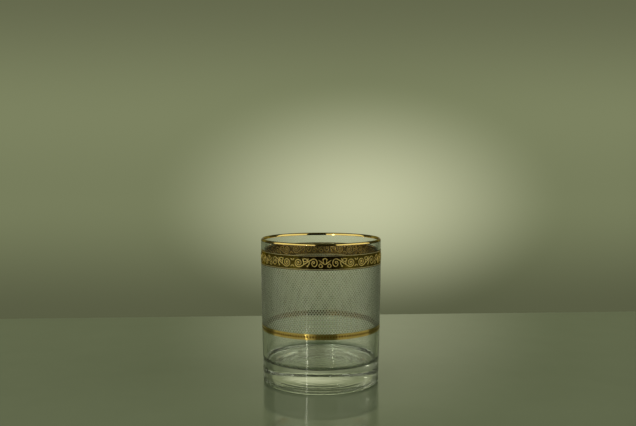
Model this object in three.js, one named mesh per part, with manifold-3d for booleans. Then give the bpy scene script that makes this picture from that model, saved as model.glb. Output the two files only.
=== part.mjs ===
// A gilded whisky tumbler. Millimetres, +Z up.
// The origin is the centre of the ring that the tumbler stands on, and -Y is its front.
// One thick-based glass body carries a gold line over its lip, a wide gold frieze band with raised palmettes,
// scrolls and border wires, and a narrow gold band above the base.
import * as THREE from "three";
import Module from "manifold-3d";

const wasm = await Module();
wasm.setup();

// Glass body
const HEIGHT = 92;
const RIM_DIAMETER = 77;
const HEEL_DIAMETER = 74.4; // outside, where the bowed wall runs into the rounded heel
const RIM_WALL = 1.8;
const FLOOR_WALL = 2.6; // wall thickness at the level of the inner floor
const BASE_THICKNESS = 14.5;
const FLOOR_FILLET = 2.5;
const HEEL_RADIUS = 1.5;
const FOOT_RING_WIDTH = 5; // the flat ring that the tumbler stands on
const PUNT_DEPTH = 2; // hollow of the underside, inside the foot ring

// Gold
const GOLD_THICKNESS = 0.2;
const GOLD_CLEARANCE = 0.03; // between a gold piece and what it lies on
const RIM_LINE_HEIGHT = 1.8;
const FRIEZE_BELOW_RIM = 6.8;
const FRIEZE_HEIGHT = 9.3;
const FRIEZE_BORDER = 1.2; // plain margin of the band above and below its ornament
const LOWER_BAND_ABOVE_FOOT = 33.9;
const LOWER_BAND_HEIGHT = 3.7;

// Raised ornament on the frieze band
const RELIEF = 0.2;
const WIRE_WIDTH = 0.4; // the raised line along each edge of the ornament
const SCROLL_WIDTH = 0.85;
const LEAF_WIDTH = 0.8;
const BUD_WIDTH = 1.4;
const VOLUTE_EYE_RADIUS = 0.45;
const REPEATS = 6; // palmettes round the band, each with a scroll on both sides

// Fineness of the facets
const TURN_STEPS = 60;
const WALL_STEPS = 4;
const ARC_STEPS = 4;
const LIP_STEPS = 6;
const SCROLL_STEPS = 48;
const LEAF_STEPS = 5;

const rimRadius = RIM_DIAMETER / 2;
const heelRadius = HEEL_DIAMETER / 2;
const lipRadius = RIM_WALL / 2;
const lipCentre = HEIGHT - lipRadius;
const rimLineFoot = HEIGHT - RIM_LINE_HEIGHT;
const friezeTop = HEIGHT - FRIEZE_BELOW_RIM;
const friezeFoot = friezeTop - FRIEZE_HEIGHT;
const lowerBandTop = LOWER_BAND_ABOVE_FOOT + LOWER_BAND_HEIGHT;
const goldSeat = GOLD_THICKNESS + GOLD_CLEARANCE; // depth of the glass under a gold piece

// The outside is upright at the rim and bows in towards the heel.
function outerRadius(z) {
  const fall = (HEIGHT - z) / (HEIGHT - HEEL_RADIUS);
  return rimRadius - (rimRadius - heelRadius) * fall * fall;
}

function innerRadius(z) {
  const fall = (HEIGHT - z) / (HEIGHT - BASE_THICKNESS);
  return outerRadius(z) - RIM_WALL - (FLOOR_WALL - RIM_WALL) * fall;
}

// Profile points (radius, height), which turn about the Z axis
const point = (r, z) => new THREE.Vector2(r, z);

function wallPoints(radiusAt, from, to, steps = WALL_STEPS) {
  return Array.from({ length: steps + 1 }, (_, i) => {
    const z = THREE.MathUtils.lerp(from, to, i / steps);
    return point(radiusAt(z), z);
  });
}

function arcPoints(r, z, radius, from, to, steps = ARC_STEPS) {
  return Array.from({ length: steps + 1 }, (_, i) => {
    const angle = THREE.MathUtils.lerp(from, to, i / steps);
    return point(r + radius * Math.cos(angle), z + radius * Math.sin(angle));
  });
}

function turned(profile) {
  return new THREE.LatheGeometry(profile, TURN_STEPS).rotateX(Math.PI / 2);
}

// The lip is half round: over it from the outside to the inside, drawn in by the given depth
function lipPoints(depth) {
  const outside = (z) => outerRadius(z) - depth;
  const inside = (z) => innerRadius(z) + depth;
  return [
    point(outside(rimLineFoot), rimLineFoot),
    ...arcPoints(rimRadius - lipRadius, lipCentre, lipRadius - depth, 0, Math.PI, LIP_STEPS),
    point(inside(rimLineFoot), rimLineFoot),
  ];
}

// A shallow seat in the outside of the glass, which a gold band fills
function seatPoints(from, to) {
  const seat = (z) => outerRadius(z) - goldSeat;
  return [point(outerRadius(from), from), ...wallPoints(seat, from, to, 1), point(outerRadius(to), to)];
}

function glassBody() {
  const footOuter = heelRadius - HEEL_RADIUS;
  const footInner = footOuter - FOOT_RING_WIDTH;
  const filletTop = BASE_THICKNESS + FLOOR_FILLET;
  const punt = new THREE.QuadraticBezierCurve(
    point(0, PUNT_DEPTH), point(footInner / 2, PUNT_DEPTH), point(footInner, 0));
  return turned([
    ...punt.getPoints(ARC_STEPS),
    ...arcPoints(footOuter, HEEL_RADIUS, HEEL_RADIUS, -Math.PI / 2, 0),
    ...wallPoints(outerRadius, HEEL_RADIUS, LOWER_BAND_ABOVE_FOOT).slice(1, -1),
    ...seatPoints(LOWER_BAND_ABOVE_FOOT, lowerBandTop),
    ...wallPoints(outerRadius, lowerBandTop, friezeFoot).slice(1, -1),
    ...seatPoints(friezeFoot, friezeTop),
    point(outerRadius(rimLineFoot), rimLineFoot),
    ...lipPoints(goldSeat),
    ...wallPoints(innerRadius, rimLineFoot, filletTop),
    ...arcPoints(innerRadius(filletTop) - FLOOR_FILLET, filletTop, FLOOR_FILLET, 0, -Math.PI / 2).slice(1),
    point(0, BASE_THICKNESS),
  ]);
}

// Gold over the lip: its outside is the glass's own outline, its inside keeps the clearance to the seat
function rimGilding() {
  const lift = (p) => point(p.x, Math.max(p.y, rimLineFoot + GOLD_CLEARANCE));
  const outside = lipPoints(0).map(lift);
  const inside = lipPoints(GOLD_THICKNESS).map(lift).reverse();
  return turned([...outside, ...inside, outside[0]]);
}

// A gold band: flush with the glass outside, with the clearance to its seat at the back and at both edges
function goldBand(from, to) {
  const back = (z) => outerRadius(z) - GOLD_THICKNESS;
  const foot = from + GOLD_CLEARANCE;
  const top = to - GOLD_CLEARANCE;
  const front = wallPoints(outerRadius, foot, top, 1);
  return turned([...front, ...wallPoints(back, top, foot, 1), front[0]]);
}

// The raised line in the middle of a border of the frieze band
function borderWire(middle) {
  const foot = middle - WIRE_WIDTH / 2;
  const top = middle + WIRE_WIDTH / 2;
  const back = (z) => outerRadius(z) + GOLD_CLEARANCE;
  const front = point(back(middle) + RELIEF, middle);
  return turned([point(back(foot), foot), front, point(back(top), top), point(back(foot), foot)]);
}

// The ornament is drawn flat, u along the band and v above its middle, then bent round the glass.
// Its places are shares: of half a repeat along the band, and of the furthest that a stroke's middle may
// rise above the middle of the band.
const ornamentHeight = FRIEZE_HEIGHT - 2 * FRIEZE_BORDER;
const ornamentMiddle = (friezeFoot + friezeTop) / 2;
const bandRadius = outerRadius(ornamentMiddle);
const halfRepeat = (Math.PI * bandRadius) / REPEATS;
const rise = (ornamentHeight - SCROLL_WIDTH) / 2;

const flat = ([u, v]) => point(u * halfRepeat, v * rise);

function bent(u, v, lift) {
  const z = ornamentMiddle + v;
  const r = outerRadius(z) + GOLD_CLEARANCE + lift;
  const turn = u / bandRadius;
  return [r * Math.sin(turn), -r * Math.cos(turn), z];
}

// A volute: a spiral that runs from one radius to another while it sweeps round its centre
class Spiral extends THREE.Curve {
  constructor(centre, fromAngle, toAngle, fromRadius, toRadius) {
    super();
    Object.assign(this, { centre, fromAngle, toAngle, fromRadius, toRadius });
  }

  getPoint(t, target = new THREE.Vector2()) {
    const angle = THREE.MathUtils.lerp(this.fromAngle, this.toAngle, t);
    const radius = THREE.MathUtils.lerp(this.fromRadius, this.toRadius, t);
    return target.set(Math.cos(angle), Math.sin(angle)).multiplyScalar(radius).add(this.centre);
  }
}

// A raised stroke along a flat curve: a ridge of three-cornered sections that shrink to a point at both ends.
// A side of -1 mirrors it. The blunter a ridge is, the sooner it reaches its full width.
const LEAF_BLUNTNESS = 2;
const SCROLL_BLUNTNESS = 5;

function ridge(curve, steps, width, side, bluntness) {
  const start = curve.getPoint(0);
  const end = curve.getPoint(1);
  const positions = [...bent(side * start.x, start.y, 0)];
  for (let i = 1; i < steps; i += 1) {
    const t = i / steps;
    const swell = Math.sin(Math.PI * t) ** (1 / bluntness);
    const middle = curve.getPoint(t);
    const along = curve.getTangent(t);
    const acrossU = (-along.y * swell * width) / 2;
    const acrossV = (side * along.x * swell * width) / 2;
    positions.push(...bent(side * middle.x + acrossU, middle.y + acrossV, 0));
    positions.push(...bent(side * middle.x, middle.y, RELIEF * swell));
    positions.push(...bent(side * middle.x - acrossU, middle.y - acrossV, 0));
  }
  positions.push(...bent(side * end.x, end.y, 0));
  const vertProperties = new Float32Array(positions);
  return new wasm.Manifold(new wasm.Mesh({ numProp: 3, vertProperties, triVerts: ridgeTriangles(steps) }));
}

// Corner numbers of a ridge: the first point, then three corners for each section, then the last point
function ridgeTriangles(steps) {
  const triangles = [];
  const corner = (section, k) => 1 + 3 * section + (k % 3);
  const lastSection = steps - 2;
  const lastPoint = 1 + 3 * (lastSection + 1);
  for (let k = 0; k < 3; k += 1) {
    triangles.push(0, corner(0, k + 1), corner(0, k));
    for (let section = 0; section < lastSection; section += 1) {
      const next = section + 1;
      triangles.push(corner(section, k), corner(next, k + 1), corner(next, k));
      triangles.push(corner(section, k), corner(section, k + 1), corner(next, k + 1));
    }
    triangles.push(lastPoint, corner(lastSection, k), corner(lastSection, k + 1));
  }
  return new Uint32Array(triangles);
}

function joined(strokes) {
  const mesh = strokes.reduce((whole, stroke) => whole.add(stroke)).getMesh();
  const geometry = new THREE.BufferGeometry();
  geometry.setAttribute("position", new THREE.BufferAttribute(mesh.vertProperties, 3));
  geometry.setIndex(new THREE.BufferAttribute(mesh.triVerts, 1));
  geometry.computeVertexNormals();
  return geometry;
}

// Palmette: a tall bud with three pairs of leaves rooted in it: short petals, long arms and foot leaves
const BUD = { foot: [0, -0.95], top: [0, 0.95] };
const PALMETTE_LEAVES = [
  { root: [0, 0.1], bend: [0.03, 0.5], tip: [0.08, 0.85] },
  { root: [0, -0.4], bend: [0.08, -0.35], tip: [0.18, 0.75] },
  { root: [0, -0.55], bend: [0.07, -0.5], tip: [0.15, -0.95] },
];

function palmette() {
  const bud = new THREE.LineCurve(flat(BUD.foot), flat(BUD.top));
  const strokes = [ridge(bud, LEAF_STEPS, BUD_WIDTH, 1, LEAF_BLUNTNESS)];
  for (const leaf of PALMETTE_LEAVES) {
    const curve = new THREE.QuadraticBezierCurve(flat(leaf.root), flat(leaf.bend), flat(leaf.tip));
    for (const side of [1, -1]) {
      strokes.push(ridge(curve, LEAF_STEPS, LEAF_WIDTH, side, LEAF_BLUNTNESS));
    }
  }
  return joined(strokes);
}

// Scroll: an open volute by the palmette and a close-wound one, on a stem that leaves the first over its top
// and comes into the other from below. A volute's share is that of its radius in the rise, and a leaf's share
// is that of the stem before its root.
const OPEN_VOLUTE = { centre: [0.345, -0.08], share: 0.93, turns: 1.6 };
const CLOSE_VOLUTE = { centre: [0.8, 0], share: 0.97, turns: 1.9 };
const STEM_LEAVES = [
  { share: 0.35, bend: [0.64, 0.35], tip: [0.57, 0.95] },
  { share: 0.2, bend: [0.45, -0.3], tip: [0.5, -0.95] },
];

function scroll(side) {
  const open = flat(OPEN_VOLUTE.centre);
  const close = flat(CLOSE_VOLUTE.centre);
  const openRadius = OPEN_VOLUTE.share * rise;
  const closeRadius = CLOSE_VOLUTE.share * rise;
  const span = close.clone().sub(open);
  const leaving = span.angle() + Math.acos((openRadius + closeRadius) / span.length());
  const arriving = leaving + Math.PI;
  const openSweep = 2 * Math.PI * OPEN_VOLUTE.turns;
  const closeSweep = 2 * Math.PI * CLOSE_VOLUTE.turns;
  const first = new Spiral(open, leaving + openSweep, leaving, VOLUTE_EYE_RADIUS, openRadius);
  const last = new Spiral(close, arriving, arriving + closeSweep, closeRadius, VOLUTE_EYE_RADIUS);
  const stem = new THREE.LineCurve(first.getPoint(1), last.getPoint(0));
  const path = new THREE.CurvePath();
  path.add(first);
  path.add(stem);
  path.add(last);
  const strokes = [ridge(path, SCROLL_STEPS, SCROLL_WIDTH, side, SCROLL_BLUNTNESS)];
  for (const leaf of STEM_LEAVES) {
    const curve = new THREE.QuadraticBezierCurve(stem.getPoint(leaf.share), flat(leaf.bend), flat(leaf.tip));
    strokes.push(ridge(curve, LEAF_STEPS, LEAF_WIDTH, side, LEAF_BLUNTNESS));
  }
  return joined(strokes);
}

// Materials and nodes
const glass = () => new THREE.MeshStandardMaterial({ color: 0xdfe6d8, roughness: 0.04, metalness: 0 });
const brightGold = () => new THREE.MeshStandardMaterial({ color: 0xc9a24a, roughness: 0.1, metalness: 1 });
const satinGold = () => new THREE.MeshStandardMaterial({ color: 0xd8b765, roughness: 0.45, metalness: 1 });

const tumbler = new THREE.Group();

function place(name, geometry, material, turn = 0) {
  const mesh = new THREE.Mesh(geometry, material);
  mesh.name = name;
  mesh.rotation.z = turn;
  tumbler.add(mesh);
}

place("glass_body", glassBody(), glass());
place("rim_gilding", rimGilding(), brightGold());
place("frieze_band", goldBand(friezeFoot, friezeTop), brightGold());
place("frieze_wire_lower", borderWire(friezeFoot + FRIEZE_BORDER / 2), satinGold());
place("frieze_wire_upper", borderWire(friezeTop - FRIEZE_BORDER / 2), satinGold());
place("lower_band", goldBand(LOWER_BAND_ABOVE_FOOT, lowerBandTop), brightGold());
for (let i = 0; i < REPEATS; i += 1) {
  const turn = (2 * Math.PI * i) / REPEATS;
  place(`frieze_palmette_${i + 1}`, palmette(), satinGold(), turn);
  place(`frieze_scroll_right_${i + 1}`, scroll(1), satinGold(), turn);
  place(`frieze_scroll_left_${i + 1}`, scroll(-1), satinGold(), turn);
}

export default tumbler;
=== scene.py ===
import math

import bmesh
import bpy
import numpy as np
from mathutils import Color, Matrix, Vector


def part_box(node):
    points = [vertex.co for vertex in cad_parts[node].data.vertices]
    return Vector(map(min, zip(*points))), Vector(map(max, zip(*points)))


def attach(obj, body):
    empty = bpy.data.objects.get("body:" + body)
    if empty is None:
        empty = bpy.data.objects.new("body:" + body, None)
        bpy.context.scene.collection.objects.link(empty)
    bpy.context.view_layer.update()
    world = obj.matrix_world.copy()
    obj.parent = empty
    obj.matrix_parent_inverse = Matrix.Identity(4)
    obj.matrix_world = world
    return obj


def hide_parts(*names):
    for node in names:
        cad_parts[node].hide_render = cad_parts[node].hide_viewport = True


# A gilded whisky tumbler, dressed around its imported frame. Metres, +Z up, -Y is the front.
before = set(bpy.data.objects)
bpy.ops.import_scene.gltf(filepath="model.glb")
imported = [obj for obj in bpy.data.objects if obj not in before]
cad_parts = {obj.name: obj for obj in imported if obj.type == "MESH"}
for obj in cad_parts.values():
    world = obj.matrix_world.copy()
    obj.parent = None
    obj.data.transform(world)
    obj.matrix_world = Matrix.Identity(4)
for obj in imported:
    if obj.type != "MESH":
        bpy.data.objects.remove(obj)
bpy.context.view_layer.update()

MM = 0.001
FULL_TURN = 2 * math.pi
ACROSS = (1, 0, 0)
UP = (0, 0, 1)


# Sizes that the frame gives
def heights(node):
    low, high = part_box(node)
    return low[2], high[2]


rim_line_foot, height = heights("rim_gilding")
frieze_foot, frieze_top = heights("frieze_band")
band_foot, band_top = heights("lower_band")
ornament_foot, ornament_top = heights("frieze_scroll_right_1")
lower_wire_foot, lower_wire_top = heights("frieze_wire_lower")
upper_wire_foot, upper_wire_top = heights("frieze_wire_upper")
rim_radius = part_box("rim_gilding")[1][0]
repeats = sum(name.startswith("frieze_palmette_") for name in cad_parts)

# Glass body
WALL_BOW = 1.3 * MM  # how far the outside draws in between the rim and the heel
RIM_WALL = 1.8 * MM
FLOOR_WALL = 2.6 * MM
BASE_THICKNESS = 14.5 * MM
FLOOR_FILLET = 2.5 * MM
HEEL_ROUND = 1.5 * MM
FOOT_RING_WIDTH = 5 * MM
PUNT_DEPTH = 2 * MM
# Height and length of the faint rings that the mould leaves in the floor and the punt
FLOOR_RINGS = ((0.02 * MM, 3.3 * MM), (0.03 * MM, 5.1 * MM))
PUNT_RINGS = ((0.06 * MM, 3.7 * MM), (0.08 * MM, 6.1 * MM))
RINGS_HOLD = 6  # a higher power keeps the rings stronger towards the edge of their face

# Engraved net
NET_LINES = 134  # lines that lean each way
NET_ROWS = 32  # steps between its rows of crossings, an even number
NET_TUCK = 0.3 * MM  # how far the net runs on under the gold at both its ends
GROOVE_WIDTH = 0.46 * MM
GROOVE_DEPTH = 0.03 * MM

# Gold
GOLD_PROUD = 0.03 * MM  # how far a gold piece stands out of the glass
GOLD_ROOT = 0.03 * MM  # how deep its back lies in the glass, so that no air shows between them
RIM_EDGE_RISE = 0.5 * MM  # clear glass between the foot of the lip and the rim line outside
RIM_EDGE_WANDER = 0.07 * MM  # hand-drawn edges of the rim line
RIM_EDGE_WAVES = ((5, 0), (11, 1), (23, 2))  # waves round the rim, with the phase of each in radians
BEADS = 2 * NET_LINES
BEAD_WAIST = 0.45  # size of a border wire between two beads, as a share of its size at a bead
BAND_EDGE = 0.5 * MM  # plain line along each edge of the lower band
BAND_SINK = 0.012 * MM  # how far its polished ground lies behind its diamonds
BAND_TILE_SHARE = 0.8  # how much of its cell a diamond of the lower band fills, each way

# Raised ornament
RELIEF = 0.2 * MM
RELIEF_SHOW = 0.01 * MM  # how far its strokes come through the back of the band
RELIEF_ROOT = GOLD_PROUD + GOLD_ROOT + RELIEF_SHOW
RELIEF_FILL = 1.5  # a higher number keeps a stroke at full height further into its thin ends
SCROLL_WIDTH = 0.6 * MM
LEAF_WIDTH = 0.72 * MM
RING_WIDTH = 0.5 * MM
EYE_RADIUS = 0.45 * MM
BUTTON_RADIUS = 0.55 * MM
SCROLL_BLUNTNESS = 5  # a blunter stroke keeps its width nearer to its ends
LEAF_BLUNTNESS = 1.6
STROKE_TIP = 0.02  # lowest swell of a stroke, so that its ends aren't points

# Fineness of the meshes
ARC_STEPS = 10
WALL_STEPS = 12
LIP_STEPS = 24
DISC_STEPS = 56
RIM_STEPS = 360
FRIEZE_STEPS = 2 * BEADS
LEAF_STEPS = 14
RING_STEPS = 28
RIDGE_SIDES = 6
BUTTON_SIDES = 2 * RIDGE_SIDES
BUTTON_ROWS = RIDGE_SIDES // 2
BEAD_STEPS = 8
BAND_SHARP_ANGLE = math.radians(35)
RELIEF_SHARP_ANGLE = math.radians(70)
ON_AXIS = MM / 100  # what is nearer to the axis than this lies on it

lip_radius = RIM_WALL / 2
lip_middle = rim_radius - lip_radius
lip_height = height - rim_line_foot
heel_radius = rim_radius - WALL_BOW
foot_outer = heel_radius - HEEL_ROUND
foot_inner = foot_outer - FOOT_RING_WIDTH
fillet_top = BASE_THICKNESS + FLOOR_FILLET
net_foot = band_top - NET_TUCK
net_top = frieze_foot + NET_TUCK
net_pitch = FULL_TURN / NET_LINES
row_height = (net_top - net_foot) / NET_ROWS
ornament_middle = (ornament_foot + ornament_top) / 2


def outline(level):
    """Radius of the finished outside, which is upright at the rim and bows in towards the heel."""
    fall = (height - level) / (height - HEEL_ROUND)
    return rim_radius - WALL_BOW * fall * fall


def outer_radius(level):
    """Radius of the glass, whose gold stands out to the finished outside."""
    return outline(level) - GOLD_PROUD


def inner_radius(level):
    fall = (height - level) / (height - BASE_THICKNESS)
    return outline(level) - RIM_WALL - (FLOOR_WALL - RIM_WALL) * fall


def gold_back(level):
    return outer_radius(level) - GOLD_ROOT


def around(radius, angle, level):
    """A point at an angle from the front, counted to the right."""
    return (radius * math.sin(angle), -radius * math.cos(angle), level)


# Profiles, as lists of (radius, height)
def wall(radius_at, start, end):
    return [(radius_at(level), level) for level in np.linspace(start, end, WALL_STEPS + 1)]


def arc(middle, half_width, half_height, start, end, steps=ARC_STEPS):
    out, up = middle
    angles = np.radians(np.linspace(start, end, steps + 1))
    return [(out + half_width * math.cos(angle), up + half_height * math.sin(angle)) for angle in angles]


def lip(inset, start=0):
    """Over the lip, from outside to its inner foot, an inset under the outer face of the gold."""
    middle = (lip_middle, rim_line_foot)
    return arc(middle, lip_radius - inset, lip_height - inset, start, 180, LIP_STEPS)


def disc(radius, rise, level, rings):
    """A round face from its middle out, with a rise in its middle and rings that fade both ways."""
    profile = []
    for share in np.linspace(0, 1, DISC_STEPS + 1):
        out = radius * share
        ripple = sum(tall * math.cos(FULL_TURN * out / length) for tall, length in rings)
        fade = share * (1 - share ** RINGS_HOLD)
        profile.append((out, level + rise * (1 - share ** 2) + ripple * fade))
    return profile


class Shape:
    """A mesh in the making: points, which have normals in the glass, and faces with material slots."""

    def __init__(self):
        self.points = []
        self.normals = []
        self.faces = []
        self.slots = []

    def add_point(self, place, normal=None):
        self.points.append(place)
        self.normals.append(normal)
        return len(self.points) - 1

    def add_face(self, corners, slot=0):
        self.faces.append(tuple(corners))
        self.slots.append(slot)

    def bridge(self, lower, upper, slot=0):
        """Faces between two rows of points that go round together, or between a row and a single point."""
        count = max(len(lower), len(upper))
        for i in range(count):
            j = (i + 1) % count
            below = [lower[i % len(lower)], lower[j % len(lower)]]
            above = [upper[j % len(upper)], upper[i % len(upper)]]
            self.add_face(dict.fromkeys(below + above), slot)

    def mesh(self, name, materials):
        mesh = bpy.data.meshes.new(name)
        mesh.from_pydata(self.points, [], self.faces)
        mesh.polygons.foreach_set("material_index", self.slots)
        mesh.shade_smooth()
        for material in materials:
            mesh.materials.append(material)
        return mesh

    def keep_normals(self, mesh):
        """Gives each corner of each face the normal of its point."""
        corners = [corner for face in mesh.polygons for corner in face.vertices]
        mesh.normals_split_custom_set([self.normals[corner] for corner in corners])


def turned_normals(profile):
    """Outward normals, as (out, up), of a profile that runs out along the foot and up the outside."""
    slope = np.gradient(np.array(profile), axis=0)
    normals = np.stack([slope[:, 1], -slope[:, 0]], axis=1)
    return normals / np.linalg.norm(normals, axis=1, keepdims=True)


def turn_profile(shape, profile, angles, slots):
    """Adds a turned surface, whose ends on the axis close to a point, and returns its rows of points."""
    rows = []
    for (radius, level), (out, up) in zip(profile, turned_normals(profile)):
        if radius < ON_AXIS:
            rows.append([shape.add_point((0, 0, level), (0, 0, math.copysign(1, up)))])
        else:
            ring = [(around(radius, angle, level), around(out, angle, up)) for angle in angles]
            rows.append([shape.add_point(place, normal) for place, normal in ring])
    for lower, upper, slot in zip(rows, rows[1:], slots):
        shape.bridge(lower, upper, slot)
    return rows


# The net: crossings sit in staggered rows, and each cell between four crossings is a raised diamond
CLEAR, ETCHED, MOULDED, STIPPLED = 0, 1, 2, 3


class Net:
    """Rows of crossings round the glass, numbered upwards, with the diamonds between them."""

    def __init__(self, shape):
        self.shape = shape
        self.known = {}
        half_width = outer_radius(net_foot) * net_pitch / 2
        to_side = half_width * row_height / math.hypot(half_width, row_height)
        self.share = 1 - GROOVE_WIDTH / 2 / to_side  # how much of its cell a diamond fills, each way

    def point(self, key, turn, row, depth):
        if key not in self.known:
            level = net_foot + row * row_height
            place = around(outer_radius(level) - depth, turn * net_pitch, level)
            slope = (outer_radius(level + MM) - outer_radius(level - MM)) / (2 * MM)
            self.known[key] = self.shape.add_point(place, around(1, turn * net_pitch, -slope))
        return self.known[key]

    def crossing(self, turn, row):
        key = ("crossing", round(2 * turn) % (2 * NET_LINES), row)
        return self.point(key, turn, row, GROOVE_DEPTH)

    def corner(self, turn, row, side, rise):
        """Corner of the diamond round a middle: side is -1 left or 1 right, rise is -1 below or 1 above."""
        key = (round(2 * turn) % (2 * NET_LINES), row, side, rise)
        return self.point(key, turn + side * self.share / 2, row + rise * self.share, 0)

    def diamond(self, turn, row, below=True, above=True):
        """The diamond with its middle at a place in a row, or only its half below or above the row."""
        ways = [(0, -1)] * below + [(1, 0)] + [(0, 1)] * above + [(-1, 0)]
        corners = [self.corner(turn, row, side, rise) for side, rise in ways]
        crossings = [self.crossing(turn + side / 2, row + rise) for side, rise in ways]
        self.shape.add_face(corners, CLEAR)
        for i, (side, rise) in enumerate(ways):
            j = (i + 1) % len(ways)
            if rise or ways[j][1]:
                self.shape.add_face((crossings[i], crossings[j], corners[j], corners[i]), ETCHED)

    def edge(self, row):
        """Points along a row of crossings, in the order that they go round."""
        points = []
        for i in range(NET_LINES):
            points.append(self.crossing(i, row))
            points.append(self.corner(i + 1 / 2, row, -1, 0))
            points.append(self.corner(i + 1 / 2, row, 1, 0))
        return points

    def angles(self):
        places = (0, (1 - self.share) / 2, (1 + self.share) / 2)
        return [(i + place) * net_pitch for i in range(NET_LINES) for place in places]


def engraved_net(shape):
    net = Net(shape)
    for i in range(NET_LINES):
        net.diamond(i + 1 / 2, 0, below=False)
        for row in range(1, NET_ROWS):
            net.diamond(i + (row + 1) % 2 / 2, row)
        net.diamond(i + 1 / 2, NET_ROWS, above=False)
    return net


def glass_body(materials):
    """From the punt up the outside to the net, and from there over the lip and down to the floor."""
    shape = Shape()
    net = engraved_net(shape)
    angles = net.angles()
    floor_radius = inner_radius(fillet_top) - FLOOR_FILLET
    punt = disc(foot_inner, PUNT_DEPTH, 0, PUNT_RINGS)
    heel = arc((foot_outer, HEEL_ROUND), HEEL_ROUND - GOLD_PROUD, HEEL_ROUND, -90, 0)
    outside = wall(outer_radius, HEEL_ROUND, net_foot)[1:-1]
    lip_and_inside = wall(outer_radius, net_top, rim_line_foot)[1:-1]
    lip_and_inside += lip(GOLD_PROUD)
    lip_and_inside += wall(inner_radius, rim_line_foot, fillet_top)[1:]
    floor = arc((floor_radius, fillet_top), FLOOR_FILLET, FLOOR_FILLET, 0, -90)[1:]
    floor += reversed(disc(floor_radius, 0, BASE_THICKNESS, FLOOR_RINGS)[:-1])
    slots_below = [MOULDED] * (len(punt) - 1) + [STIPPLED] * len(heel) + [CLEAR] * len(outside)
    slots_above = [CLEAR] * (len(lip_and_inside) - 1)
    slots_above += [STIPPLED] * ARC_STEPS + [MOULDED] * (len(floor) - ARC_STEPS)
    rows_below = turn_profile(shape, punt + heel + outside, angles, slots_below)
    rows_above = turn_profile(shape, lip_and_inside + floor, angles, slots_above)
    shape.bridge(rows_below[-1], net.edge(0))
    shape.bridge(net.edge(NET_ROWS), rows_above[0])
    mesh = shape.mesh("glass", materials)
    shape.keep_normals(mesh)
    return mesh


# Gold bands, each a thin closed ring
FRONT, BACK, INLAY = 0, 1, 2


def add_ring(shape, profile, steps, slots):
    """A ring with a closed profile, and a material slot for each row of faces round it."""
    angles = [FULL_TURN * i / steps for i in range(steps)]
    rows = []
    for radius, level in profile:
        rows.append([shape.add_point(around(radius, angle, level)) for angle in angles])
    for lower, upper, slot in zip(rows, rows[1:] + rows[:1], slots):
        shape.bridge(lower, upper, slot)


def gold_mesh(name, shape, materials, sharp_angle):
    mesh = shape.mesh(name, materials)
    mesh.set_sharp_from_angle(angle=sharp_angle)
    return mesh


def frieze_band(materials):
    """A plain polished band, whose back shows its two border lines."""
    levels = (frieze_foot, lower_wire_foot, lower_wire_top, upper_wire_foot, upper_wire_top, frieze_top)
    profile = [(outline(level), level) for level in levels]
    profile += [(gold_back(level), level) for level in reversed(levels)]
    edge_slot = [BACK]
    front_slots = [FRONT] * (len(levels) - 1)
    back_slots = [BACK, INLAY, BACK, INLAY, BACK]
    shape = Shape()
    add_ring(shape, profile, FRIEZE_STEPS, front_slots + edge_slot + back_slots + edge_slot)
    return gold_mesh("frieze_ground", shape, materials, BAND_SHARP_ANGLE)


def rim_line(materials):
    """A thin shell over the lip, with edges that wander a little as a drawn line's do."""
    start = math.degrees(math.asin(RIM_EDGE_RISE / lip_height))
    profile = lip(0, start) + lip(GOLD_PROUD + GOLD_ROOT, start)[::-1]
    shape = Shape()
    add_ring(shape, profile, RIM_STEPS, [FRONT] * LIP_STEPS + [BACK] * (len(profile) - LIP_STEPS))
    mesh = gold_mesh("rim_line", shape, materials, BAND_SHARP_ANGLE)
    for edge_row in (0, LIP_STEPS, LIP_STEPS + 1, len(profile) - 1):
        for step in range(RIM_STEPS):
            angle = FULL_TURN * step / RIM_STEPS
            wander = sum(math.sin(waves * angle + phase) for waves, phase in RIM_EDGE_WAVES)
            rise = RIM_EDGE_WANDER * (1 + wander / len(RIM_EDGE_WAVES))
            mesh.vertices[edge_row * RIM_STEPS + step].co.z += rise
    return mesh


def tile(shape, corners):
    """A thin tile with corners at (angle, height), counter-clockwise as seen from outside."""
    front = [shape.add_point(around(outline(level), angle, level)) for angle, level in corners]
    back = [shape.add_point(around(outer_radius(level), angle, level)) for angle, level in corners]
    shape.add_face(front, INLAY)
    shape.add_face(back[::-1], INLAY)
    for i in range(len(corners)):
        j = (i + 1) % len(corners)
        shape.add_face((front[j], front[i], back[i], back[j]), INLAY)


def lower_band(materials):
    """A polished band laid over the net, with a row of satin diamonds between two plain lines."""
    shape = Shape()
    levels = (band_foot, band_foot + BAND_EDGE, band_top - BAND_EDGE, band_top)
    insets = (0, BAND_SINK, BAND_SINK, 0)
    profile = [(outline(level) - inset, level) for level, inset in zip(levels, insets)]
    profile += [(gold_back(level), level) for level in reversed(levels)]
    add_ring(shape, profile, BEADS, [FRONT] * len(levels) + [BACK] * len(levels))
    middle = (band_foot + band_top) / 2
    half_width = BAND_TILE_SHARE * net_pitch / 2
    half_height = BAND_TILE_SHARE * (band_top - band_foot - 2 * BAND_EDGE) / 2
    for i in range(NET_LINES):
        angle = i * net_pitch
        foot = (angle, middle - half_height)
        top = (angle, middle + half_height)
        tile(shape, (foot, (angle + half_width, middle), top, (angle - half_width, middle)))
    return gold_mesh("lower_band", shape, materials, BAND_SHARP_ANGLE)


# Raised ornament: drawn flat, along the band from a palmette and up from its middle, then bent round
band_radius = outline(ornament_middle)
half_repeat = math.pi * band_radius / repeats
stroke_rise = (ornament_top - ornament_foot - SCROLL_WIDTH) / 2


def bent(along, up, lift):
    level = ornament_middle + up
    return around(outline(level) + lift, along / band_radius, level)


def flat(shares):
    """Points given as shares of half a repeat along the band, and of the rise of a stroke's middle."""
    return np.array(shares, dtype=float) * (half_repeat, stroke_rise)


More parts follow.
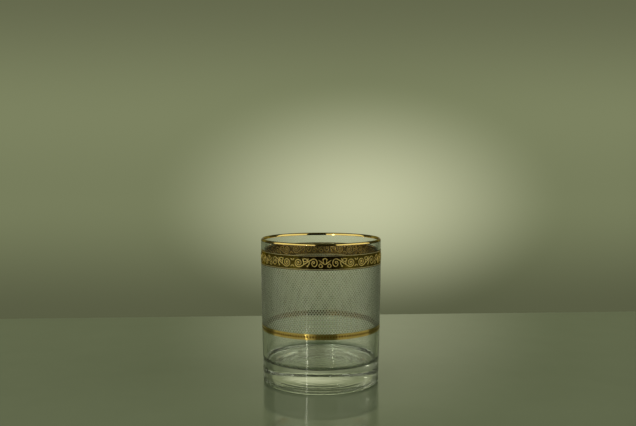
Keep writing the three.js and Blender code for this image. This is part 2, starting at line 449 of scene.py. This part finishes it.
def bezier(shares):
    """A smooth curve from the first of three flat points to the last, drawn towards the middle one."""
    root, bend, tip = flat(shares)
    share = np.linspace(0, 1, LEAF_STEPS + 1)[:, None]
    return (1 - share) ** 2 * root + 2 * share * (1 - share) * bend + share ** 2 * tip


def oval(centre, radii):
    angles = FULL_TURN * np.arange(RING_STEPS) / RING_STEPS
    offsets = np.stack([np.cos(angles) * radii[0], np.sin(angles) * radii[1]], axis=1)
    return flat([centre])[0] + offsets


def swell(count, bluntness):
    """Widths of a stroke, as shares, that fall to nearly nothing at both ends."""
    share = np.linspace(0, 1, count)
    return np.clip(np.sin(math.pi * share), STROKE_TIP, None) ** (1 / bluntness)


def ridge(shape, line, widths, side=1, closed=False):
    """A rounded ridge along a flat line. A side of -1 mirrors it."""
    heading = np.gradient(line, axis=0)
    if closed:
        heading = np.roll(line, -1, axis=0) - np.roll(line, 1, axis=0)
    heading /= np.linalg.norm(heading, axis=1, keepdims=True)
    across = np.stack([-heading[:, 1], heading[:, 0]], axis=1)
    turns = np.linspace(0, math.pi, RIDGE_SIDES + 1)
    fullest = widths.max()
    sections = []
    for middle, cross, width in zip(line, across, widths):
        section = []
        for turn in turns:
            along, up = middle + cross * width / 2 * math.cos(turn)
            top = RELIEF * min(1, RELIEF_FILL * width / fullest) * math.sin(turn)
            section.append(shape.add_point(bent(side * along, up, top - RELIEF_ROOT)))
        sections.append(section if side == 1 else section[::-1])
    pairs = list(zip(sections, sections[1:]))
    if closed:
        pairs.append((sections[-1], sections[0]))
    else:
        shape.add_face(sections[0])
        shape.add_face(sections[-1][::-1])
    for here, there in pairs:
        for i in range(len(here)):
            j = (i + 1) % len(here)
            shape.add_face((here[i], there[i], there[j], here[j]), BACK if j == 0 else FRONT)


def hoop(shape, line, side=1):
    """A closed stroke of one width."""
    ridge(shape, line, np.full(len(line), RING_WIDTH), side, closed=True)


def leaf(shape, shares, width, side):
    ridge(shape, bezier(shares), width * swell(LEAF_STEPS + 1, LEAF_BLUNTNESS), side)


def button(shape, centre, side):
    """A small round boss."""
    middle_along, middle_up = flat([centre])[0]
    rows = []
    for turn in np.linspace(0, math.pi / 2, BUTTON_ROWS + 1)[:-1]:
        ring = []
        for angle in FULL_TURN * np.arange(BUTTON_SIDES) / BUTTON_SIDES:
            along = side * (middle_along + BUTTON_RADIUS * math.cos(turn) * math.cos(side * angle))
            up = middle_up + BUTTON_RADIUS * math.cos(turn) * math.sin(side * angle)
            ring.append(shape.add_point(bent(along, up, RELIEF * math.sin(turn) - RELIEF_ROOT)))
        rows.append(ring)
    for lower, upper in zip(rows, rows[1:]):
        shape.bridge(lower, upper)
    shape.add_face(rows[-1])
    shape.add_face(rows[0][::-1], BACK)


# Palmette
BUD_RING = dict(centre=(0, 0.38), radii=(1.05 * MM, 1.85 * MM))
FOOT_LOOP = dict(centre=(0.13, -0.6), radii=(1 * MM, 0.95 * MM))
ARM = ((0.02, -0.3), (0.1, 0.2), (0.2, 0.72))
PETAL = ((0.0, 0.95), (0.045, 1.0), (0.085, 0.62))
FOOT_LEAF = ((0.07, -1.0), (0.06, -0.4), (0.175, 0.15))


def palmette():
    """A bud ring with a petal, an arm, a foot leaf and a small loop on both its sides."""
    shape = Shape()
    hoop(shape, oval(**BUD_RING))
    for side in (1, -1):
        leaf(shape, ARM, LEAF_WIDTH, side)
        leaf(shape, PETAL, RING_WIDTH, side)
        leaf(shape, FOOT_LEAF, RING_WIDTH, side)
        hoop(shape, oval(**FOOT_LOOP), side)
    return shape


# Scroll: an oval open volute by the palmette, a stem, and a close-wound volute, with buttons and leaves
OPEN_VOLUTE = dict(centre=(0.325, -0.02), share=0.97, turns=1.35, steps=50, squeeze=0.8, fullness=1.7)
CLOSE_VOLUTE = dict(centre=(0.8, 0), share=0.97, turns=1.9, steps=75)
STEM_STEPS = 25
STEM_EASING = 6  # how often the whole line is eased
STEM_LOOP = dict(centre=(0.6, 0.6), radii=(1.35 * MM, 0.85 * MM))
STEM_BUD = (0.52, -0.72)
SCROLL_LEAVES = (
    ((0.5, 0.1), (0.53, 0.6), (0.49, 1.0)),
    ((0.46, 0.3), (0.46, -0.2), STEM_BUD),
    ((0.66, -0.6), (0.6, 0.1), (0.69, 0.98)),
    ((0.93, 0.85), (0.98, 0.75), (0.99, 0.4)),
    ((0.93, -0.85), (0.98, -0.75), (0.99, -0.4)),
)


def volute(outer_angle, centre, share, turns, steps, squeeze=1, fullness=1):
    """A spiral from its eye to its outer end. A fuller one keeps more of its width all the way round."""
    inward = 1 - np.linspace(0, 1, steps + 1)
    angle = outer_angle + FULL_TURN * turns * inward
    radius = EYE_RADIUS + (share * stroke_rise - EYE_RADIUS) * (1 - inward ** fullness)
    offsets = np.stack([np.cos(angle) * radius * squeeze, np.sin(angle) * radius], axis=1)
    return flat([centre])[0] + offsets


def eased(line):
    """The same line with softer bends and the same ends."""
    line = line.copy()
    line[1:-1] = (line[:-2] + 2 * line[1:-1] + line[2:]) / 4
    return line


def scroll_line():
    """Out of the open volute, along a straight stem and into the close one, with softened bends."""
    open_centre, close_centre = flat([OPEN_VOLUTE["centre"], CLOSE_VOLUTE["centre"]])
    span = close_centre - open_centre
    radii = (OPEN_VOLUTE["share"] + CLOSE_VOLUTE["share"]) * stroke_rise
    leaving = math.atan2(span[1], span[0]) + math.acos(radii / math.hypot(*span))
    first = volute(leaving, **OPEN_VOLUTE)
    last = volute(leaving + math.pi, **CLOSE_VOLUTE)[::-1]
    shares = np.linspace(0, 1, STEM_STEPS)[1:-1, None]
    stem = first[-1] + (last[0] - first[-1]) * shares
    line = np.concatenate([first, stem, last])
    for _ in range(STEM_EASING):
        line = eased(line)
    return line


def scroll(side):
    """The scroll to the right of a palmette, or its mirror image with a side of -1."""
    shape = Shape()
    line = scroll_line()
    ridge(shape, line, SCROLL_WIDTH * swell(len(line), SCROLL_BLUNTNESS), side)
    hoop(shape, oval(**STEM_LOOP), side)
    for shares in SCROLL_LEAVES:
        leaf(shape, shares, LEAF_WIDTH, side)
    for centre in (CLOSE_VOLUTE["centre"], OPEN_VOLUTE["centre"], STEM_BUD):
        button(shape, centre, side)
    return shape


def beaded_wire(name, foot, top, material):
    """A line of beads along a border of the frieze band."""
    shape = Shape()
    middle = (foot + top) / 2
    steps = BEADS * BEAD_STEPS
    rows = [[] for _ in range(RIDGE_SIDES + 1)]
    for step in range(steps):
        angle = FULL_TURN * step / steps
        share = abs(math.sin(math.pi * step / BEAD_STEPS))
        size = BEAD_WAIST + (1 - BEAD_WAIST) * math.sqrt(share)
        for side, row in enumerate(rows):
            turn = math.pi * side / RIDGE_SIDES
            level = middle - (top - foot) / 2 * size * math.cos(turn)
            lift = RELIEF * size * math.sin(turn) - RELIEF_ROOT
            row.append(shape.add_point(around(outline(level) + lift, angle, level)))
    for lower, upper in zip(rows, rows[1:] + rows[:1]):
        shape.bridge(lower, upper)
    return gold_mesh(name, shape, [material], RELIEF_SHARP_ANGLE)


# Materials
FULL_TONE = 255
NOISE_MIDDLE = (0.3, 0.7)  # most of a noise lies between these
NOISE_DETAIL = 2


def srgb(*tones):
    """A colour written as it shows on a screen, in the linear numbers that shaders take."""
    colour = Color([tone / FULL_TONE for tone in tones])
    return (*colour.from_srgb_to_scene_linear(), 1)


class Look:
    """A material in the making: a Principled shader and helpers that put procedural nodes on it."""

    def __init__(self, name, **settings):
        self.material = bpy.data.materials.new(name)
        self.material.use_nodes = True
        self.nodes = self.material.node_tree.nodes
        self.links = self.material.node_tree.links
        self.shader = next(node for node in self.nodes if node.type == "BSDF_PRINCIPLED")
        self.places = self.nodes.new("ShaderNodeTexCoord").outputs["Object"]
        for setting, value in settings.items():
            self.shader.inputs[setting.replace("_", " ")].default_value = value

    def noise(self, patch, detail=NOISE_DETAIL):
        """Noise whose patches are about the given length across."""
        node = self.nodes.new("ShaderNodeTexNoise")
        node.inputs["Scale"].default_value = 1 / patch
        node.inputs["Detail"].default_value = detail
        self.links.new(self.places, node.inputs["Vector"])
        return node.outputs["Fac"]

    def colours(self, patch, first, second):
        """Colours the shader in patches between two tones."""
        node = self.nodes.new("ShaderNodeValToRGB")
        for element, position, tone in zip(node.color_ramp.elements, NOISE_MIDDLE, (first, second)):
            element.position = position
            element.color = tone
        self.links.new(self.noise(patch), node.inputs["Fac"])
        self.links.new(node.outputs["Color"], self.shader.inputs["Base Color"])

    def roughness(self, patch, low, high):
        """Varies the roughness in patches."""
        node = self.nodes.new("ShaderNodeMapRange")
        start, end = NOISE_MIDDLE
        node.inputs["From Min"].default_value = start
        node.inputs["From Max"].default_value = end
        node.inputs["To Min"].default_value = low
        node.inputs["To Max"].default_value = high
        self.links.new(self.noise(patch), node.inputs["Value"])
        self.links.new(node.outputs["Result"], self.shader.inputs["Roughness"])

    def bump(self, patch, depth, detail=NOISE_DETAIL):
        """Makes the surface uneven in patches."""
        node = self.nodes.new("ShaderNodeBump")
        node.inputs["Distance"].default_value = depth
        self.links.new(self.noise(patch, detail), node.inputs["Height"])
        self.links.new(node.outputs["Normal"], self.shader.inputs["Normal"])


GLASS_IOR = 1.52
GLASS_TINT = (0.965, 0.985, 0.95, 1)
BASE_TINT_AND_SHADE = (0.79, 0.86, 0.78, 1)  # the thick base takes more of the light, and this tint is deeper than the glass's own: painted shade that darkens the base and what is seen through it
WHITE = (1, 1, 1, 1)


def glass(name, tint):
    return Look(name, Base_Color=tint, Transmission_Weight=1, IOR=GLASS_IOR)


def clear_glass():
    look = glass("clear_glass", GLASS_TINT)
    look.roughness(patch=9 * MM, low=0.0, high=0.02)
    look.bump(patch=14 * MM, depth=0.02 * MM, detail=1)
    return look.material


def moulded_glass():
    """The floor and the punt."""
    look = glass("moulded_glass", BASE_TINT_AND_SHADE)
    look.roughness(patch=6 * MM, low=0.0, high=0.03)
    look.bump(patch=2.4 * MM, depth=0.07 * MM)
    return look.material


def stippled_glass():
    """The foot ring, the heel and the fillet of the floor, left uneven by the mould."""
    look = glass("stippled_glass", BASE_TINT_AND_SHADE)
    look.roughness(patch=6 * MM, low=0.0, high=0.03)
    look.bump(patch=2 * MM, depth=0.3 * MM)
    return look.material


def etched_glass():
    """The grooves of the net."""
    look = glass("etched_glass", WHITE)
    look.roughness(patch=0.3 * MM, low=0.55, high=0.68)
    return look.material


GOLD_EDGE_SHADE = (0.4, 0.36, 0.3, 1)  # real polished gold is a little duller where it is seen edge on; this is much duller, painted shade that darkens the left and right ends of each band


def gold(name, **settings):
    return Look(name, Metallic=1, **settings)


def bright_gold():
    """The rim line."""
    look = gold("bright_gold", Specular_Tint=GOLD_EDGE_SHADE)
    look.colours(patch=5 * MM, first=srgb(246, 214, 132), second=srgb(250, 221, 143))
    look.roughness(patch=1.2 * MM, low=0.05, high=0.13)
    look.bump(patch=2.5 * MM, depth=0.004 * MM)
    return look.material


def frieze_gold():
    """The ground between the raised strokes, deeper in colour than the rim."""
    look = gold("frieze_gold", Specular_Tint=GOLD_EDGE_SHADE)
    look.colours(patch=3 * MM, first=srgb(242, 198, 90), second=srgb(248, 208, 102))
    look.roughness(patch=1.2 * MM, low=0.06, high=0.14)
    look.bump(patch=2.5 * MM, depth=0.004 * MM)
    return look.material


def gold_lustre():
    """The backs of the bands, seen through the glass."""
    look = gold("gold_lustre")
    look.colours(patch=4 * MM, first=srgb(138, 102, 44), second=srgb(166, 124, 56))
    look.roughness(patch=1.5 * MM, low=0.12, high=0.22)
    return look.material


def relief_back():
    """The backs of the raised strokes, paler than the back of their band."""
    look = gold("relief_back")
    look.colours(patch=2 * MM, first=srgb(200, 164, 96), second=srgb(216, 180, 110))
    look.roughness(patch=0.8 * MM, low=0.28, high=0.4)
    return look.material


def band_gold():
    """Gold over the net, which keeps it from a full polish."""
    look = gold("band_gold")
    look.colours(patch=3 * MM, first=srgb(210, 180, 98), second=srgb(224, 196, 114))
    look.roughness(patch=1.2 * MM, low=0.09, high=0.16)
    look.bump(patch=0.6 * MM, depth=0.03 * MM)
    return look.material


def band_diamonds():
    look = gold("band_diamonds")
    look.colours(patch=2 * MM, first=srgb(130, 102, 46), second=srgb(148, 118, 56))
    look.roughness(patch=0.5 * MM, low=0.38, high=0.5)
    return look.material


def satin_gold():
    """The raised strokes."""
    look = gold("satin_gold", Specular_Tint=GOLD_EDGE_SHADE)
    look.colours(patch=2 * MM, first=srgb(250, 222, 140), second=srgb(255, 232, 158))
    look.roughness(patch=0.5 * MM, low=0.3, high=0.44)
    look.bump(patch=0.15 * MM, depth=0.006 * MM)
    return look.material


def border_gold():
    """The borders of the frieze, paler than its strokes."""
    look = gold("border_gold")
    look.colours(patch=2 * MM, first=srgb(242, 228, 184), second=srgb(250, 238, 198))
    look.roughness(patch=0.5 * MM, low=0.3, high=0.44)
    return look.material


def table_top():
    look = Look("table_top", IOR=1.9)
    look.colours(patch=40 * MM, first=srgb(161, 173, 146), second=srgb(164, 176, 149))
    look.roughness(patch=40 * MM, low=0.08, high=0.1)
    return look.material


def add_object(name, data):
    item = bpy.data.objects.new(name, data)
    bpy.context.scene.collection.objects.link(item)
    return item


# The pieces, each in the place of its node
def place(name, mesh, slot, *nodes):
    piece = add_object(name, mesh)
    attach(piece, "root")
    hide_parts(*nodes)


def place_repeats(kind, shape, materials):
    """Puts one copy of a motif at each repeat round the band."""
    for i in range(repeats):
        node = f"{kind}_{i + 1}"
        mesh = gold_mesh(node, shape, materials, RELIEF_SHARP_ANGLE)
        mesh.transform(Matrix.Rotation(FULL_TURN * i / repeats, 4, "Z"))
        place(f"raised_{node}", mesh, "satin_gold", node)


lustre = gold_lustre()
border = border_gold()
glass_materials = [clear_glass(), etched_glass(), moulded_glass(), stippled_glass()]
ornament_materials = [satin_gold(), relief_back()]

place("crystal_body", glass_body(glass_materials), "crystal", "glass_body")
place("rim_gold_line", rim_line([bright_gold(), lustre]), "bright_gold", "rim_gilding")
place("frieze_ground", frieze_band([frieze_gold(), lustre, border]), "bright_gold", "frieze_band")
place("net_band", lower_band([band_gold(), lustre, band_diamonds()]), "bright_gold", "lower_band")
beads_lower = beaded_wire("beads_lower", lower_wire_foot, lower_wire_top, border)
place("beads_lower", beads_lower, "satin_gold", "frieze_wire_lower")
beads_upper = beaded_wire("beads_upper", upper_wire_foot, upper_wire_top, border)
place("beads_upper", beads_upper, "satin_gold", "frieze_wire_upper")
place_repeats("frieze_palmette", palmette(), ornament_materials)
place_repeats("frieze_scroll_right", scroll(1), ornament_materials)
place_repeats("frieze_scroll_left", scroll(-1), ornament_materials)

# Camera, placed from the photograph's rim and foot ellipses, with its angles in degrees
CAMERA_AZIMUTH = -3.6
CAMERA_DISTANCE = 0.477
CAMERA_HEIGHT = 0.1369
CAMERA_TILT = 3.48
CAMERA_PAN = 0.229
CAMERA_LENS = 42.11
CAMERA_SENSOR = 36


def camera():
    lens = bpy.data.cameras.new("camera")
    lens.sensor_width = CAMERA_SENSOR
    lens.lens = CAMERA_LENS
    lens.clip_start = MM
    holder = add_object("camera", lens)
    holder.location = around(CAMERA_DISTANCE, math.radians(CAMERA_AZIMUTH), CAMERA_HEIGHT)
    turn = math.radians(CAMERA_AZIMUTH + CAMERA_PAN)
    holder.rotation_euler = (math.pi / 2 - math.radians(CAMERA_TILT), 0, turn)
    bpy.context.scene.camera = holder


# Stage: a pale table top whose far edge runs behind the tumbler, and an upright sheet that glows by itself,
# with a painted pool of light and painted shade on it
TABLE_HALF_WIDTH = 0.5
TABLE_FRONT = -0.42
TABLE_BACK = 0.214
TABLE_THICKNESS = 0.02
TABLE_ROUND = 0.006
TABLE_ROUND_STEPS = 4
TABLE_ROUND_PROFILE = 0.5  # a quarter circle
FLOOR_GAP = 0.02 * MM


def place_on_stage(name, mesh):
    piece = add_object(name, mesh)


def table():
    mesh = bpy.data.meshes.new("table")
    shape = bmesh.new()
    bmesh.ops.create_cube(shape, size=1)
    size = Vector((2 * TABLE_HALF_WIDTH, TABLE_BACK - TABLE_FRONT, TABLE_THICKNESS))
    middle = Vector((0, (TABLE_BACK + TABLE_FRONT) / 2, -TABLE_THICKNESS / 2 - FLOOR_GAP))
    bmesh.ops.transform(shape, matrix=Matrix.LocRotScale(middle, None, size), verts=shape.verts)
    bmesh.ops.bevel(shape, geom=shape.edges[:], affect="EDGES", offset=TABLE_ROUND,
                    segments=TABLE_ROUND_STEPS, profile=TABLE_ROUND_PROFILE)
    shape.to_mesh(mesh)
    shape.free()
    mesh.materials.append(table_top())
    place_on_stage("table", mesh)


SHEET_BACK = 0.5
SHEET_HALF_WIDTH = 0.55
SHEET_FADE = 0.44  # how far out to each side the sheet starts to fade into the room
SHEET_FOOT = -0.8
SHEET_TOP = 0.75
# The painted pool of light on the sheet: its middle, its reach and its tone
GLOW_MIDDLE = (0.083, SHEET_BACK, 0.091)
GLOW_REACH = (0.285, 1, 0.164)  # across, through and up
GLOW = srgb(193, 196, 160)
# Tones that the sheet glows with by height, painted light and shade, dark above what the camera sees
SHEET_TONES = (
    (-0.06, srgb(89, 93, 68)),
    (0.1, srgb(119, 125, 92)),
    (0.2, srgb(124, 130, 96)),
    (0.38, srgb(99, 103, 76)),
    (0.47, srgb(16, 17, 12)),
    (SHEET_TOP, srgb(10, 11, 8)),
)
# The room as the camera sees it, through glass too, and as gold and glass mirror it
ROOM = srgb(80, 85, 62)
SIDES = srgb(50, 54, 40)
SHADE = srgb(10, 10, 7)  # round the camera
SHADE_CORE = 36  # degrees from the camera's side, where the shade is full and where it ends
SHADE_EDGE = 47


class Tones:
    """Nodes that colour the sheet by place, or the world by direction."""

    def __init__(self, tree, coordinate):
        self.nodes = tree.nodes
        self.links = tree.links
        self.place = self.nodes.new("ShaderNodeTexCoord").outputs[coordinate]

    def vector(self, operation, first, second=None):
        node = self.nodes.new("ShaderNodeVectorMath")
        node.operation = operation
        self.links.new(first, node.inputs[0])
        if second is not None:
            node.inputs[1].default_value = second
        return node.outputs["Value" if operation in ("DOT_PRODUCT", "LENGTH") else "Vector"]

    def fade(self, value, start, end):
        """Goes smoothly from 0 at start to 1 at end."""
        node = self.nodes.new("ShaderNodeMapRange")
        node.interpolation_type = "SMOOTHSTEP"
        node.inputs["From Min"].default_value = start
        node.inputs["From Max"].default_value = end
        self.links.new(value, node.inputs["Value"])
        return node.outputs["Result"]

    def ramp(self, value, stops):
        """Goes through the tones of a list of (level, tone)."""
        lowest = stops[0][0]
        highest = stops[-1][0]
        share = self.nodes.new("ShaderNodeMapRange")
        share.inputs["From Min"].default_value = lowest
        share.inputs["From Max"].default_value = highest
        self.links.new(value, share.inputs["Value"])
        node = self.nodes.new("ShaderNodeValToRGB")
        node.color_ramp.interpolation = "EASE"
        elements = node.color_ramp.elements
        while len(elements) < len(stops):
            elements.new(1)
        for element, (level, tone) in zip(elements, stops):
            element.position = (level - lowest) / (highest - lowest)
            element.color = tone
        self.links.new(share.outputs["Result"], node.inputs["Fac"])
        return node.outputs["Color"]

    def mix(self, first, second, share):
        """Goes from a first colour, which is a tone or a node's output, to a second tone."""
        node = self.nodes.new("ShaderNodeMix")
        node.data_type = "RGBA"
        sockets = {socket.identifier: socket for socket in [*node.inputs, *node.outputs]}
        if isinstance(first, bpy.types.NodeSocket):
            self.links.new(first, sockets["A_Color"])
        else:
            sockets["A_Color"].default_value = first
        sockets["B_Color"].default_value = second
        self.links.new(share, sockets["Factor_Float"])
        return sockets["Result_Color"]


def painted_glow_backdrop():
    """Glows with painted light: grades from low to high, glows in a painted pool of light behind the tumbler
    and fades into the room at both sides.
    """
    material = bpy.data.materials.new("painted_glow_backdrop")
    material.use_nodes = True
    tones = Tones(material.node_tree, "Object")
    colour = tones.ramp(tones.vector("DOT_PRODUCT", tones.place, UP), SHEET_TONES)
    # The painted pool of light behind the tumbler
    away = tones.vector("SUBTRACT", tones.place, GLOW_MIDDLE)
    away = tones.vector("LENGTH", tones.vector("DIVIDE", away, GLOW_REACH))
    colour = tones.mix(colour, GLOW, tones.fade(away, 1, 0))
    aside = tones.vector("LENGTH", tones.vector("MULTIPLY", tones.place, ACROSS))
    colour = tones.mix(colour, ROOM, tones.fade(aside, SHEET_FADE, SHEET_HALF_WIDTH))
    glow = tones.nodes.new("ShaderNodeEmission")
    tones.links.new(colour, glow.inputs["Color"])
    tones.links.new(glow.outputs["Emission"], tones.nodes["Material Output"].inputs["Surface"])
    return material


def sheet():
    mesh = bpy.data.meshes.new("sheet")
    corners = [(-SHEET_HALF_WIDTH, SHEET_FOOT), (SHEET_HALF_WIDTH, SHEET_FOOT),
               (SHEET_HALF_WIDTH, SHEET_TOP), (-SHEET_HALF_WIDTH, SHEET_TOP)]
    mesh.from_pydata([(aside, SHEET_BACK, level) for aside, level in corners], [], [(0, 1, 2, 3)])
    mesh.materials.append(painted_glow_backdrop())
    place_on_stage("sheet", mesh)


def room():
    """An even tone for the camera, and dim sides with a dark front for what the object mirrors."""
    world = bpy.data.worlds.new("room")
    bpy.context.scene.world = world
    world.use_nodes = True
    tones = Tones(world.node_tree, "Generated")
    camera_side = around(1, math.radians(CAMERA_AZIMUTH), 0)
    facing = tones.vector("DOT_PRODUCT", tones.place, camera_side)
    dark = tones.fade(facing, math.cos(math.radians(SHADE_EDGE)), math.cos(math.radians(SHADE_CORE)))
    paths = tones.nodes.new("ShaderNodeLightPath").outputs
    seen = tones.nodes.new("ShaderNodeMath")
    seen.operation = "MAXIMUM"
    tones.links.new(paths["Is Camera Ray"], seen.inputs[0])
    tones.links.new(paths["Is Transmission Ray"], seen.inputs[1])
    colour = tones.mix(tones.mix(SIDES, SHADE, dark), ROOM, seen.outputs["Value"])
    tones.links.new(colour, tones.nodes["Background"].inputs["Color"])


LIGHT_COLOUR = (1.0, 1.0, 0.8)


def panel(name, azimuth, distance, low, high, width, radiance):
    """A soft light that stands upright, at an azimuth in degrees from the front, and faces the tumbler."""
    lamp = bpy.data.lights.new(name, "AREA")
    lamp.shape = "RECTANGLE"
    lamp.size = width
    lamp.size_y = high - low
    lamp.color = LIGHT_COLOUR
    lamp.energy = radiance * math.pi * width * (high - low)
    holder = add_object(name, lamp)
    turn = math.radians(azimuth)
    holder.location = around(distance, turn, (low + high) / 2)
    holder.rotation_euler = (math.pi / 2, 0, turn)
    holder.visible_camera = False


camera()
table()
sheet()
room()
panel("light_left", azimuth=-60, distance=1.1, low=0.15, high=1.2, width=2.2, radiance=0.8)
panel("light_right", azimuth=64, distance=1.1, low=0.15, high=1.2, width=1.66, radiance=0.8)
panel("light_strip", azimuth=-30.5, distance=0.8, low=0.135, high=0.32, width=0.034, radiance=12)
bpy.context.scene.view_settings.view_transform = "Standard"
